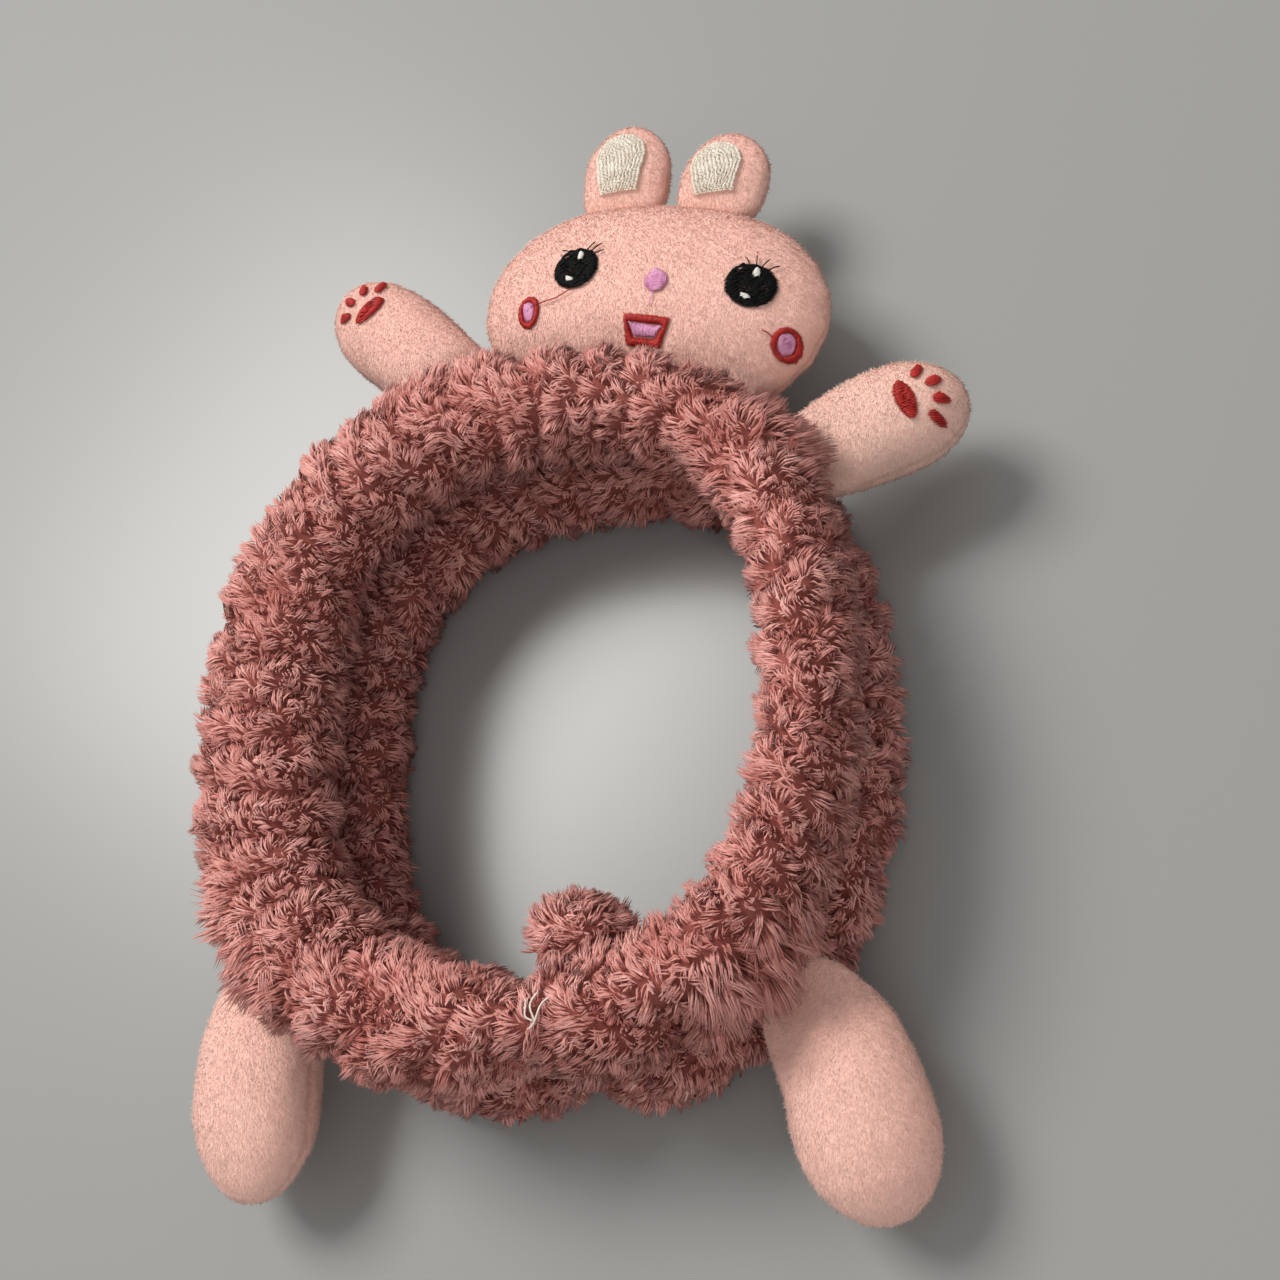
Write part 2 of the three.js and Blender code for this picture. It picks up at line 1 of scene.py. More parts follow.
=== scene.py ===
# The looks of a plush bunny spa headband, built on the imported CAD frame. Metres, +Z up.
# The loop is two gathered rolls of shaggy fleece. The head, ears, arms and legs are stuffed pieces of
# short-pile plush with embroidery in satin stitch.
import json
import math

import bmesh
import bpy
import numpy as np
from mathutils import Matrix, Vector, noise
from mathutils.bvhtree import BVHTree
from mathutils.kdtree import KDTree

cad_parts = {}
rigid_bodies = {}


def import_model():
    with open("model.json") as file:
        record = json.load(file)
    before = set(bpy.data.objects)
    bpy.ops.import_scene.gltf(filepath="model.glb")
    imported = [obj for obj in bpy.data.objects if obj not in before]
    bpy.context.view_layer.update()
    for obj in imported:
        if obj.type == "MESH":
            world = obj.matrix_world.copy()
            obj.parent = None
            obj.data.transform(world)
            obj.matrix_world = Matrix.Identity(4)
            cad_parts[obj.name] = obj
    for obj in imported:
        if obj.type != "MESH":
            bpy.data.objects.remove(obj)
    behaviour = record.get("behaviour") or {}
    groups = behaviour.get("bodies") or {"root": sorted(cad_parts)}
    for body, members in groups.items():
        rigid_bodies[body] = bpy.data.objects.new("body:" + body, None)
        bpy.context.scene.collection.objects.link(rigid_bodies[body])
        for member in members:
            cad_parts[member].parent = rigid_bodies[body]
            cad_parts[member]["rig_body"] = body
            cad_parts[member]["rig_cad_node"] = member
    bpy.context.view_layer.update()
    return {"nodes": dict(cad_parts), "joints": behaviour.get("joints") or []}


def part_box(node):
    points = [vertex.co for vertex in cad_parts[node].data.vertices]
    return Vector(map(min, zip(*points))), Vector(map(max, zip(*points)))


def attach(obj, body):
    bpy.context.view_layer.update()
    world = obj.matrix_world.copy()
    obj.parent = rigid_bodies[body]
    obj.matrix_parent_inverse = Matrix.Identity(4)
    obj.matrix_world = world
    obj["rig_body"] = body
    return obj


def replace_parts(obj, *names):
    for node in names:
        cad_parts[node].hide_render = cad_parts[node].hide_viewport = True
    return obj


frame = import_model()
NODES = frame["nodes"]
RANDOM = np.random.default_rng(7)
MM = 0.001

# ---- sizes, in millimetres ------------------------------------------------------------------------

# The loop and its two rolls, as in the CAD.
LOOP_MIDDLE = np.array([-5.37, -21.82])
LOOP_HALF_WIDTH = 70
LOOP_HALF_LENGTH = 78
LOOP_SQUARENESS = 2.4
LOOP_SKEW = math.radians(16)
ROLL_HALF_DEPTH = 13.0
ROLL_DEPTH_SWING = 3.5
ROLL_HALF_HEIGHT = 12.6
ROLL_RISE = 16.0
ROLL_MEAN_RADIUS = 12.5
LOOP_ROUND = 470  # length of the loop's middle line
GROOVE_HEIGHT = 28.3
LEAN = 1.6
LEAN_AIM = math.radians(-29)
JOIN_ANGLE = math.radians(288)
JOIN_PINCH = 0.42
JOIN_SPREAD = math.radians(7)

GATHERS = 34  # folds round the loop, drawn in by the elastic
GATHER_DEPTH = 4.4
LOCK_LENGTH = 5.0  # a lock is one strand of the shaggy fleece
LOCK_WIDTH = 0.52
LOCKS_PER_MM2 = 2.7
LOCKS_IN_TUFT = 8
LOCK_SPREAD = (0.65, 1.25)  # shortest and longest lock, as shares of the length
LOCK_LEAN = (0.05, 0.7)  # radians from upright at the root
LOCK_BEND = (0.1, 0.9)  # radians more at the tip
LOCK_SINK = 0.4  # how deep a lock starts under the cloth
CREASE_SHORTER = 0.5  # share of its length that a lock loses in a crease
# painted shade: the tints by which a lock in a crease is darkened, for the shade in the fold
CREASE_PAINTED_SHADE = 2.0  # tints
SEAM_PULL = 1.6  # how firmly the locks over a seam point outward
SEAM_LONGER = 0.6  # share by which they are longer
SEAM_FALL = 0.7
MEAN_TINT = 1.9
LOCK_GAP = 0.25  # radians on each side of the groove that are left without locks
TUFT_PULL = 0.4  # share of the way that a lock's tip is drawn to its tuft's tip
TUFT_PULL_MOST = 2.4
FLOOR_CLEARANCE = 0.1

PILE_LENGTH = 1.05  # short pile of the plush
PILE_WIDTH = 0.2
PILE_PER_MM2 = 7.0
UPRIGHT_SHARE = 0.1  # of the plush's hairs
FLAT_LEAN = (1.0, 1.4)  # radians from upright
UPRIGHT_LEAN = (0.1, 0.8)
PLUSH_THICKNESS = 1.8  # from the wadding to the plush's surface, before it is swelled
EAR_ROOT = 3.7  # how far an ear's root sinks into the head's plush
EAR_ROOT_SWELL = 0.9  # share by which the root is thicker there
EAR_ROOT_REACH = 11  # length of an ear over which both fade out
PATCH_SHIFT = 2.6  # the embroidery of an ear's patch starts this far below the patch's own top
LEG_ROOT = 26  # length over which a leg is drawn in towards its sewn end
LEG_PINCH = 0.28  # share of its width that a leg loses at that end
LEG_FLATTEN = 0.2  # share of its depth
SWELL_MOST = 1.2  # the furthest that a stuffed piece's skin swells
SWELL_FRAMES = 20
SWELL_PRESSURE = 90
SWELL_HELD = 6  # the skin this near to the middle of the root seam is held
SEAM_WIDTH = 2.0  # the crease where the front and back panels meet
SEAM_DEPTH = 0.5
LUMP_HEIGHT = 0.35  # soft lumps of the wadding

# How far each stuffed piece is tipped down about its seam, below zero where it is raised.
DROOP = {"arm_left": -3, "arm_right": 3, "leg_left": 12, "leg_right": 13}

# Half the length of each seam in the groove that the fleece lies out over.
SEAM_REACH = {"leg_left": 15, "leg_right": 15, "arm_left": 14, "arm_right": 14}

THREAD = 0.2  # half the thickness of embroidery thread
FINE_THREAD = 0.17
THREAD_PITCH = 0.36
UNDERLAY_DROP = 0.35  # the underlay lies this far below the satin stitch
UNDERLAY_INSET = 0.3
UNDERLAY_LENGTH = 5.0
TAIL_THREAD = 0.24
TAIL_LENGTH = 8.5
TAIL_STRANDS = 3
TAIL_LIFT = 2.2  # above the CAD's tail, on the fleece's tips
TAIL_SPACING = 1.6
TAIL_SHORTER = 1.5  # each strand than the one before
TAIL_AIM_DEG = 60
TAIL_FAN_DEG = 38
TUCK_SHARE = 0.95  # the gathered end's cloth, as a share of its CAD size
TUCK_FOLDS = 9
TUCK_FOLD_DEPTH = 0.12


# ---- materials --------------------------------------------------------------------------------------

def shader(name, color, roughness, sheen=0.0, specular=0.15):
    """A new material and its Principled BSDF."""
    material = bpy.data.materials.new(name)
    material.use_nodes = True
    bsdf = material.node_tree.nodes["Principled BSDF"]
    bsdf.inputs["Base Color"].default_value = (*color, 1)
    bsdf.inputs["Roughness"].default_value = roughness
    bsdf.inputs["Specular IOR Level"].default_value = specular
    bsdf.inputs["Sheen Weight"].default_value = sheen
    bsdf.inputs["Sheen Roughness"].default_value = 0.5
    return material, bsdf


def add_noise(material, bsdf, dark, light, scale, bump_scale, bump_height):
    """Gives a material a mottled colour and a fine bump."""
    nodes, links = material.node_tree.nodes, material.node_tree.links
    place = nodes.new("ShaderNodeTexCoord")
    mottle = nodes.new("ShaderNodeTexNoise")
    mottle.inputs["Scale"].default_value = scale
    mottle.inputs["Detail"].default_value = 4
    ramp = nodes.new("ShaderNodeValToRGB")
    ramp.color_ramp.elements[0].position = 0.35
    ramp.color_ramp.elements[1].position = 0.65
    ramp.color_ramp.elements[0].color = (*dark, 1)
    ramp.color_ramp.elements[1].color = (*light, 1)
    grain = nodes.new("ShaderNodeTexNoise")
    grain.inputs["Scale"].default_value = bump_scale
    bump = nodes.new("ShaderNodeBump")
    bump.inputs["Strength"].default_value = 0.6
    bump.inputs["Distance"].default_value = bump_height
    links.new(place.outputs["Object"], mottle.inputs["Vector"])
    links.new(place.outputs["Object"], grain.inputs["Vector"])
    links.new(mottle.outputs["Fac"], ramp.inputs["Fac"])
    links.new(ramp.outputs["Color"], bsdf.inputs["Base Color"])
    links.new(grain.outputs["Fac"], bump.inputs["Height"])
    links.new(bump.outputs["Normal"], bsdf.inputs["Normal"])


def cloth(
    name, dark, light, roughness=0.95, sheen=0.1, scale=90, bump_scale=1500, specular=0.15
):
    """A mottled material with a fine bump, from a dark tint to a light one."""
    material, bsdf = shader(name, light, roughness, sheen, specular)
    add_noise(material, bsdf, dark, light, scale, bump_scale, 0.0004)
    return material


def tints(name, colors, roughness, sheen):
    """One plain material for each colour of a pile."""
    return [shader(f"{name}_{i}", color, roughness, sheen)[0] for i, color in enumerate(colors)]


# The real knitted backing of the fleece, in a colour darkened as painted shade: where it shows between
# the locks it stands for the deep shadow in the pile.
FLEECE_BACKING_PAINTED_SHADE = cloth("fleece_backing_painted_shade", (0.20, 0.055, 0.045), (0.28, 0.085, 0.07), 1.0, 0)
# Four tints of the fleece, from dark to light. Locks take them at random for tone, and the darker ones
# also serve as painted shade in creases and at the roots.
FLEECE_TINTS = tints(
    "fleece_lock",
    [(0.46, 0.155, 0.13), (0.57, 0.235, 0.205), (0.67, 0.315, 0.28), (0.76, 0.405, 0.365)],
    0.95,
    0,
)
PLUSH_SKIN = cloth("plush_skin", (0.81, 0.485, 0.41), (0.85, 0.525, 0.445), 0.95, 0.1)
PLUSH_TINTS = tints(
    "plush_pile",
    [(0.87, 0.545, 0.46), (0.90, 0.58, 0.495), (0.93, 0.615, 0.53)],
    0.9,
    0.1,
)
PALE_TINTS = tints(
    "plush_pale_pile",
    [(0.83, 0.585, 0.49), (0.86, 0.62, 0.525), (0.89, 0.655, 0.56)],
    0.9,
    0.1,
)


def thread(name, dark, light, roughness=0.35, specular=0.5):
    """A material for embroidery or sewing thread."""
    return cloth(name, dark, light, roughness, 0, 400, 1500, specular)


THREADS = {
    "black_embroidery": thread("black_thread", (0.002, 0.002, 0.002), (0.005, 0.005, 0.005), 0.6, 0.12),
    "white_embroidery": thread("white_thread", (0.74, 0.72, 0.66), (0.84, 0.82, 0.76)),
    "lilac_embroidery": thread("lilac_thread", (0.62, 0.24, 0.44), (0.78, 0.38, 0.58)),
    "red_embroidery": thread("red_thread", (0.30, 0.010, 0.008), (0.48, 0.022, 0.016), 0.38, 0.35),
    "cream_embroidery": thread("cream_thread", (0.72, 0.64, 0.53), (0.90, 0.84, 0.74), 0.6, 0.2),
    "sewing_thread": thread("sewing_thread_white", (0.66, 0.60, 0.52), (0.80, 0.75, 0.68), 0.6, 0.3),
    "groove_thread": thread("sewing_thread_rose", (0.34, 0.11, 0.09), (0.44, 0.16, 0.13), 0.9, 0.1),
}
ELASTIC = cloth("elastic_weave", (0.55, 0.52, 0.48), (0.66, 0.63, 0.58), 0.7, 0, 700, 2500)


# ---- meshes -----------------------------------------------------------------------------------------

def new_object(name, verts_mm, faces, materials, face_slots=None, normals=None):
    """A mesh object from vertices in millimetres and an array of triangles or quads."""
    mesh = bpy.data.meshes.new(name)
    faces = np.asarray(faces, np.int32)
    sides = faces.shape[1]
    mesh.vertices.add(len(verts_mm))
    mesh.vertices.foreach_set("co", (np.asarray(verts_mm) * MM).astype(np.float32).ravel())
    mesh.loops.add(faces.size)
    mesh.loops.foreach_set("vertex_index", faces.ravel())
    mesh.polygons.add(len(faces))
    mesh.polygons.foreach_set("loop_start", np.arange(len(faces), dtype=np.int32) * sides)
    for material in materials:
        mesh.materials.append(material)
    if face_slots is not None:
        mesh.polygons.foreach_set("material_index", np.asarray(face_slots, np.int32))
    mesh.polygons.foreach_set("use_smooth", np.ones(len(faces), bool))
    mesh.update(calc_edges=True)
    if normals is not None:
        mesh.normals_split_custom_set_from_vertices(normals.reshape(-1, 3))
    made = bpy.data.objects.new(name, mesh)
    bpy.context.scene.collection.objects.link(made)
    return made


def unit(vectors):
    return vectors / np.maximum(np.linalg.norm(vectors, axis=-1, keepdims=True), 1e-9)


def tubes(paths, radius, sides=4):
    """Vertices and triangles of closed tubes along paths, an array of paths x points x 3."""
    count, points, _ = paths.shape
    along = unit(np.gradient(paths, axis=1))
    up = np.broadcast_to(np.array([0, 0, 1.0]), along.shape)
    across = unit(np.cross(along, up) + 1e-6)
    lift = np.cross(across, along)
    turn = np.arange(sides) / sides * 2 * np.pi + np.pi / sides
    taper = np.ones(points)
    taper[0] = taper[-1] = 0.3
    size = (radius * taper)[None, :, None, None]
    ring = across[:, :, None] * np.cos(turn)[:, None] + lift[:, :, None] * np.sin(turn)[:, None]
    verts = (paths[:, :, None] + ring * size).reshape(-1, 3)
    faces = []
    for p in range(points - 1):
        for s in range(sides):
            a, b = p * sides + s, p * sides + (s + 1) % sides
            faces += [(a, b, b + sides), (a, b + sides, a + sides)]
    end = (points - 1) * sides
    for s in range(1, sides - 1):
        faces += [(0, s + 1, s), (end, end + s, end + s + 1)]
    faces = np.array(faces)
    step = np.arange(count)[:, None, None] * points * sides
    return verts, (faces[None] + step).reshape(-1, 3)


def smooth_field(points, scale, seed):
    """A smooth random value from -1 to 1 at each point."""
    shift = Vector((seed * 17.3, seed * 5.1, seed * 9.7))
    return np.array([noise.noise(Vector(p) / scale + shift) for p in points])


# ---- the loop's rolls -------------------------------------------------------------------------------

def loop_radius(angle):
    across = np.abs(np.cos(angle - LOOP_SKEW) / LOOP_HALF_WIDTH) ** LOOP_SQUARENESS
    along = np.abs(np.sin(angle - LOOP_SKEW) / LOOP_HALF_LENGTH) ** LOOP_SQUARENESS
    return (across + along) ** (-1 / LOOP_SQUARENESS)


def roll_depth(angle):
    off = (angle - JOIN_ANGLE + np.pi) % (2 * np.pi) - np.pi
    pinch = 1 - JOIN_PINCH * np.exp(-((off / JOIN_SPREAD) ** 2))
    return (ROLL_HALF_DEPTH - ROLL_DEPTH_SWING * np.cos(angle - LOOP_SKEW)) * pinch


def gather(angle, turn, side):
    """How far the cloth is drawn in, from 0 on a fold's crest to 1 in the crease beside it."""
    sway = 0.35 * np.sin(3 * angle + side) + 0.3 * np.sin(7 * angle + 2 * side)
    phase = GATHERS * angle / (2 * np.pi) + sway + 0.35 * np.sin(2 * turn + 5 * angle)
    return 1 - np.abs(np.sin(np.pi * phase)) ** 0.7


def roll_surface(angle, turn, side):
    """Points of a roll. turn runs round the roll from the groove, and side is 1 for the upper roll."""
    near_groove = 0.5 + 0.5 * np.cos(turn)
    crease = gather(angle, turn, side) * GATHER_DEPTH * (0.55 + 0.45 * near_groove)
    depth = roll_depth(angle) - crease
    height = ROLL_HALF_HEIGHT - crease * 0.8
    out = -depth * np.sin(turn)
    z = GROOVE_HEIGHT + side * (ROLL_RISE - height * np.cos(turn))
    z = np.maximum(z, 0.6)
    reach = loop_radius(angle) + out
    lean = LEAN * (GROOVE_HEIGHT - z) / ROLL_RISE
    x = LOOP_MIDDLE[0] + reach * np.cos(angle) + lean * math.cos(LEAN_AIM)
    y = LOOP_MIDDLE[1] + reach * np.sin(angle) + lean * math.sin(LEAN_AIM)
    return np.stack([x, y, z], -1)


def grid_faces(rows, columns):
    """Quads of a grid that closes on itself both ways."""
    r, c = np.meshgrid(np.arange(rows), np.arange(columns), indexing="ij")
    r, c = r.ravel(), c.ravel()
    r2, c2 = (r + 1) % rows, (c + 1) % columns
    return np.stack([r * columns + c, r2 * columns + c, r2 * columns + c2, r * columns + c2], 1)


def roll_backing(name, side):
    """The knitted backing of one roll, in a colour darkened as painted shade under the locks."""
    rows, columns = 504, 36
    angle, turn = np.meshgrid(
        np.arange(rows) / rows * 2 * np.pi, np.arange(columns) / columns * 2 * np.pi, indexing="ij"
    )
    verts = roll_surface(angle, turn, side).reshape(-1, 3)
    faces = grid_faces(rows, columns)
    return new_object(name, verts, faces if side > 0 else faces[:, ::-1], [FLEECE_BACKING_PAINTED_SHADE])


# ---- shaggy fleece ----------------------------------------------------------------------------------

def locks(name, roots, normals, crease, count_in_piece=30000):
    """Locks of fleece from roots, in several pieces that share the name. A lock is a thin spindle.

    Neighbouring locks lean one way and meet at their tips, as a tuft. They are shorter in a crease,
    and darker there as painted shade, and the faces at each root are painted a tint darker as shade.
    Where a stuffed piece is sewn in, they are longer and lie out over its root.
    """
    count = len(roots)
    cover, outward = over_seams(roots)
    tuft, chosen = tufts(roots)

    def varied(low, high):
        """A random number that is nearly the same for all the locks of a tuft."""
        shared = RANDOM.uniform(low, high, len(chosen))[tuft]
        return (0.75 * shared + 0.25 * RANDOM.uniform(low, high, count))[:, None]

    across = unit(np.cross(normals, np.array([0.31, 0.17, 0.93])))
    ahead = np.cross(normals, across)
    swirl = 3.0 * smooth_field(roots[chosen], 7.0, 1) + RANDOM.normal(0, 0.8, len(chosen))
    swirl = swirl[tuft] + RANDOM.normal(0, 0.25, count)
    lay = across * np.cos(swirl)[:, None] + ahead * np.sin(swirl)[:, None]
    lay = unit(lay + SEAM_PULL * cover * outward)
    length = LOCK_LENGTH * varied(*LOCK_SPREAD)
    length = length * (1 + SEAM_LONGER * cover) * (1 - CREASE_SHORTER * crease[:, None])
    lean_in = varied(*LOCK_LEAN) + 0.3 * cover
    lean_out = lean_in + varied(*LOCK_BEND) + 0.2 * cover

    def heading(lean):
        return normals * np.cos(lean) + lay * np.sin(lean)

    start = roots - normals * LOCK_SINK
    middle = start + heading(lean_in) * length * 0.5
    tip = middle + heading(lean_out) * length * 0.5
    gather_in = to_tuft_tip(tip, tip[chosen][tuft])
    middle, tip = middle + gather_in * 0.3, tip + gather_in
    width = LOCK_WIDTH * RANDOM.uniform(0.65, 1.35, count)[:, None]
    verts = np.empty((count, 5, 3))
    shading = np.empty((count, 5, 3))
    side_way = unit(np.cross(normals, lay))
    lift_way = np.cross(heading((lean_in + lean_out) / 2), side_way)
    for corner in range(3):
        turn = corner / 3 * 2 * np.pi + np.pi / 6
        offset = side_way * math.cos(turn) + lift_way * math.sin(turn) * 0.8
        verts[:, 1 + corner] = middle + offset * width / 2
        shading[:, 1 + corner] = unit(normals + offset * 0.6)
    verts[:, 0], verts[:, 4] = start, tip
    shading[:, 0] = shading[:, 4] = normals
    verts[..., 2] = np.maximum(verts[..., 2], FLOOR_CLEARANCE)
    faces = np.array([(2, 1, 0), (3, 2, 0), (1, 3, 0), (1, 2, 4), (2, 3, 4), (3, 1, 4)])
    shade = MEAN_TINT + 0.6 * smooth_field(roots, 12.0, 4) + RANDOM.normal(0, 0.45, count)
    # painted shade: locks in a crease take darker tints, standing in for the shade in the fold
    shade -= CREASE_PAINTED_SHADE * crease
    shade += RANDOM.normal(0, 0.3, len(chosen))[tuft]
    base = np.clip(np.round(shade), 0, 3).astype(int)
    slots = np.repeat(base[:, None], len(faces), 1)
    # painted shade: the three faces at each lock's root take a tint one darker, for the shade deep in
    # the pile
    slots[:, :3] = np.maximum(slots[:, :3] - 1, 0)
    made = []
    for first in range(0, count, count_in_piece):
        part = slice(first, min(first + count_in_piece, count))
        shift = np.arange(part.stop - part.start)[:, None, None] * 5
        made.append(
            new_object(
                f"{name}_{len(made) + 1}",
                verts[part].reshape(-1, 3),
                (faces[None] + shift).reshape(-1, 3),
                FLEECE_TINTS,
                slots[part].ravel(),
                shading[part],
            )
        )
    return made


def over_seams(roots):
    """How near each root is to a seam of a stuffed piece, from 0 to 1, and the way out over it."""
    cover, outward = np.zeros((len(roots), 1)), np.zeros((len(roots), 3))
    for form, reach in SEAM_REACH.items():
        middle, _ = seam_of(form)
        away = middle - [*LOOP_MIDDLE, middle[2]]
        beyond = (roots - middle) @ unit(away)
        beside = (roots - middle) @ unit(np.cross(away, [0, 0, 1]))
        share = np.clip(1.5 - np.abs(beside) / reach, 0, 1) * np.clip(beyond / 6 + 0.6, 0, 1)
        share = (share * (roots[:, 2] > GROOVE_HEIGHT))[:, None]
        outward = np.where(share > cover, unit(away) + [0, 0, -SEAM_FALL], outward)
        cover = np.maximum(cover, share)
    return cover, outward


def tufts(roots):
    """The tuft that each lock belongs to, and the lock in the middle of each tuft."""
    chosen = RANDOM.choice(len(roots), max(len(roots) // LOCKS_IN_TUFT, 1), replace=False)
    tree = KDTree(len(chosen))
    for index, root in enumerate(chosen):
        tree.insert(roots[root], index)
    tree.balance()
    return np.array([tree.find(root)[1] for root in roots]), chosen


def to_tuft_tip(tips, target):
    """How far each lock's tip is drawn to the tip of its tuft."""
    shift = (target - tips) * TUFT_PULL
    size = np.linalg.norm(shift, axis=1, keepdims=True)
    return shift * np.minimum(1, TUFT_PULL_MOST / np.maximum(size, 1e-6))


def roll_pile(name, side):
    """Roots spread evenly over a roll, and the fleece that grows from them."""
    tries = int(2 * np.pi * ROLL_MEAN_RADIUS * LOOP_ROUND * LOCKS_PER_MM2)
    angle = RANDOM.uniform(0, 2 * np.pi, tries)
    turn = RANDOM.uniform(LOCK_GAP, 2 * np.pi - LOCK_GAP, tries)
    order = np.argsort(angle)
    angle, turn = angle[order], turn[order]
    step = 1e-3
    point = roll_surface(angle, turn, side)
    along = roll_surface(angle + step, turn, side) - point
    round_roll = roll_surface(angle, turn + step, side) - point
    normal = unit(np.cross(round_roll, along)) * side
    area = np.linalg.norm(np.cross(along, round_roll), axis=1)
    keep = (RANDOM.uniform(0, 1, tries) < area / np.quantile(area, 0.9)) & (point[:, 2] > 1.2)
    return locks(name, point[keep], normal[keep], gather(angle[keep], turn[keep], side))


# ---- stuffed pieces ---------------------------------------------------------------------------------

def stuffed_skin(form):
    """The plush skin of a stuffed piece before it swells: its wadding, pushed out a little."""
    source = NODES[form + "_wadding"]
    skin = source.copy()
    skin.data = source.data.copy()
    skin.name = form + "_skin"
    bpy.context.scene.collection.objects.link(skin)
    skin.parent = None
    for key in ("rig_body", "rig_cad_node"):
        if key in skin:
            del skin[key]
    mesh = skin.data
    weld(mesh)
    push_out(skin, PLUSH_THICKNESS)
    subdivide(skin, "SIMPLE")
    remesh = skin.modifiers.new("even", "REMESH")
    remesh.mode = "VOXEL"
    remesh.voxel_size = (1.1 if form.startswith("ear") else 2.0) * MM
    bake_modifiers(skin)
    skin.data.materials.clear()
    skin.data.materials.append(PLUSH_SKIN)
    return skin


def push_out(skin, distance):
    """Moves each vertex along its normal, by one distance or one for each vertex."""
    points = vertices_mm(skin) + vertex_normals(skin) * np.reshape(distance, (-1, 1))
    set_vertices_mm(skin, points)


def vertex_normals(piece):
    normals = np.empty(len(piece.data.vertices) * 3, np.float32)
    piece.data.vertex_normals.foreach_get("vector", normals)
    return normals.reshape(-1, 3).astype(float)


def set_vertices_mm(piece, points):
    piece.data.vertices.foreach_set("co", (points * MM).astype(np.float32).ravel())
    piece.data.update()


def weld(mesh):
    work = bmesh.new()
    work.from_mesh(mesh)
    bmesh.ops.remove_doubles(work, verts=work.verts, dist=1e-6)
    bmesh.ops.join_triangles(
        work, faces=work.faces, angle_face_threshold=1.2, angle_shape_threshold=1.2
    )
    work.to_mesh(mesh)
    work.free()


def subdivide(piece, kind="CATMULL_CLARK"):
    modifier = piece.modifiers.new("smooth", "SUBSURF")
    modifier.subdivision_type = kind
    modifier.levels = modifier.render_levels = 1
    bake_modifiers(piece)


def bake_modifiers(piece):
    graph = bpy.context.evaluated_depsgraph_get()
    result = bpy.data.meshes.new_from_object(piece.evaluated_get(graph))
    piece.modifiers.clear()
    piece.data = result


def seam_of(form):
    """The middle of a stuffed piece's root seam in millimetres, and the normal of its seam plane."""
    joint = next(j for j in frame["joints"] if j["child"] == form)
    turn = Matrix.Rotation(math.radians(-DROOP.get(form, 0)), 3, Vector(joint["axis"]))
    return np.array(joint["pos_m"]) / MM, np.array(turn @ Vector((0, 0, 1)))


def swell(skins):
    """Fills the stuffed pieces: their skins are blown up as cloth, held at the root seam."""
    before = {form: vertices_mm(skin) for form, skin in skins.items()}
    for form, skin in skins.items():
        held = skin.vertex_groups.new(name="held")
        distance = np.linalg.norm(before[form] - seam_of(form)[0], axis=1)
        held.add(np.flatnonzero(distance < SWELL_HELD).tolist(), 1.0, "REPLACE")
        cloth = skin.modifiers.new("cloth", "CLOTH")
        cloth.settings.use_pressure = True
        cloth.settings.uniform_pressure_force = SWELL_PRESSURE
        cloth.settings.effector_weights.gravity = 0
        cloth.settings.vertex_group_mass = "held"
        cloth.point_cache.frame_start = 1
        cloth.point_cache.frame_end = SWELL_FRAMES
    for step in range(1, SWELL_FRAMES + 1):
        bpy.context.scene.frame_set(step)
    for form, skin in skins.items():
        bake_modifiers(skin)
        moved = vertices_mm(skin) - before[form]
        distance = np.linalg.norm(moved, axis=1, keepdims=True)
        capped = moved * np.minimum(1, SWELL_MOST / np.maximum(distance, 1e-6))
        set_vertices_mm(skin, before[form] + capped * root_ease(form, before[form])[:, None])
    bpy.context.scene.frame_set(1)


def root_ease(form, points):
    """0 at a stuffed piece's root seam, and 1 from where it is clear of the rolls."""
    distance = np.linalg.norm(points - seam_of(form)[0], axis=1)
    share = np.clip((distance - 8) / 14, 0, 1)
    return share * share * (3 - 2 * share)


def set_root(form, skin):
    """Shapes the sewn end: an ear's sinks into the head's plush, and a leg's is drawn in."""
    joint = next(j for j in frame["joints"] if j["child"] == form)
    middle, normal = seam_of(form)
    side = np.array(joint["axis"])
    up = np.cross(normal, side)
    points = vertices_mm(skin)
    height, depth, across = [(points - middle) @ way for way in (up, normal, side)]
    if form.startswith("ear"):
        near = np.clip(1 - height / EAR_ROOT_REACH, 0, 1) ** 2
        points -= np.outer(near * EAR_ROOT, up)
        points += np.outer(near * depth * EAR_ROOT_SWELL, normal)
    else:
        near = np.clip(1 - height / LEG_ROOT, 0, 1)
        points -= np.outer(near * across * LEG_PINCH, side)
        points -= np.outer(near * depth * LEG_FLATTEN, normal)
    set_vertices_mm(skin, points)


def finish_skin(form, skin):
    """Draws the skin in at its side seam and gives it the soft lumps of its wadding."""
    if form.startswith(("ear", "leg")):
        set_root(form, skin)
    subdivide(skin)
    points = vertices_mm(skin)
    middle, normal = seam_of(form)
    height = np.abs((points - middle) @ normal)
    seam = SEAM_DEPTH * np.clip(1 - height / SEAM_WIDTH, 0, 1) ** 1.5
    lumps = LUMP_HEIGHT * smooth_field(points, 16.0, 3)
    push_out(skin, lumps - seam)
    skin.data.polygons.foreach_set("use_smooth", np.ones(len(skin.data.polygons), bool))
    skin.data.update()


def vertices_mm(piece):
    co = np.empty(len(piece.data.vertices) * 3, np.float32)
    piece.data.vertices.foreach_get("co", co)
    return co.reshape(-1, 3).astype(float) / MM


